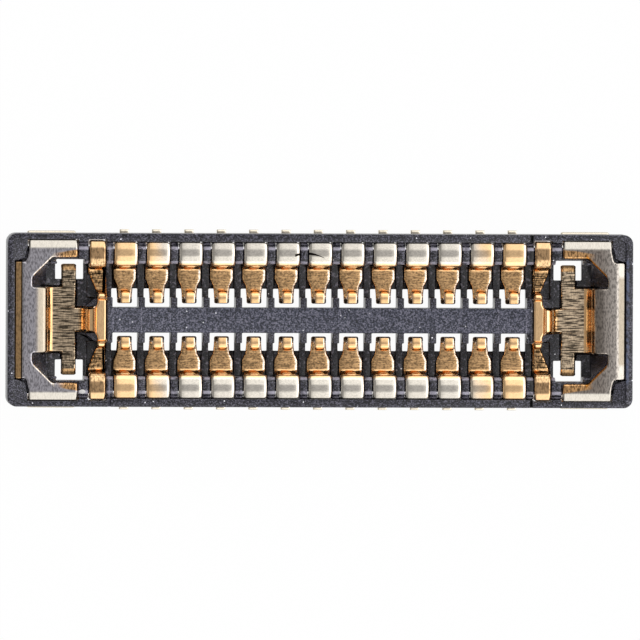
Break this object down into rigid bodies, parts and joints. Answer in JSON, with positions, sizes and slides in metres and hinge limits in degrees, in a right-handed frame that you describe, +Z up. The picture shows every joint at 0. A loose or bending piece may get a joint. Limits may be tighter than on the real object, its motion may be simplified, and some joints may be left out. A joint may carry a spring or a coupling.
{
  "type": "fpc connector",
  "caption": "Low receptacle for a flexible circuit: two rows of folded spring contacts in a moulded housing with a ring-shaped moat, and a folded metal fitting at each end.",
  "frame": {"origin": "middle of the solder plane, in line with the middle of the housing", "axes": "+X along the contact rows, +Y across the rows, +Z up from the circuit board towards the mating side"},
  "size_m": [0.0068, 0.002, 0.0005],
  "materials": {
    "housing": "dark moulded liquid crystal polymer with a fine speckle",
    "contacts": "gold plated copper alloy, paler on the arches",
    "end_fittings": "plated copper alloy, silvery on the plate and gold on the folds"
  },
  "bodies": {
    "root": {"housing": "housing", "contact_north_01": "contacts", "contact_north_02": "contacts", "contact_north_03": "contacts", "contact_north_04": "contacts", "contact_north_05": "contacts", "contact_north_06": "contacts", "contact_north_07": "contacts", "contact_north_08": "contacts", "contact_north_09": "contacts", "contact_north_10": "contacts", "contact_north_11": "contacts", "contact_north_12": "contacts", "contact_north_13": "contacts", "contact_south_01": "contacts", "contact_south_02": "contacts", "contact_south_03": "contacts", "contact_south_04": "contacts", "contact_south_05": "contacts", "contact_south_06": "contacts", "contact_south_07": "contacts", "contact_south_08": "contacts", "contact_south_09": "contacts", "contact_south_10": "contacts", "contact_south_11": "contacts", "contact_south_12": "contacts", "contact_south_13": "contacts", "end_fitting_left": "end_fittings", "end_fitting_right": "end_fittings"}
  },
  "joints": []
}
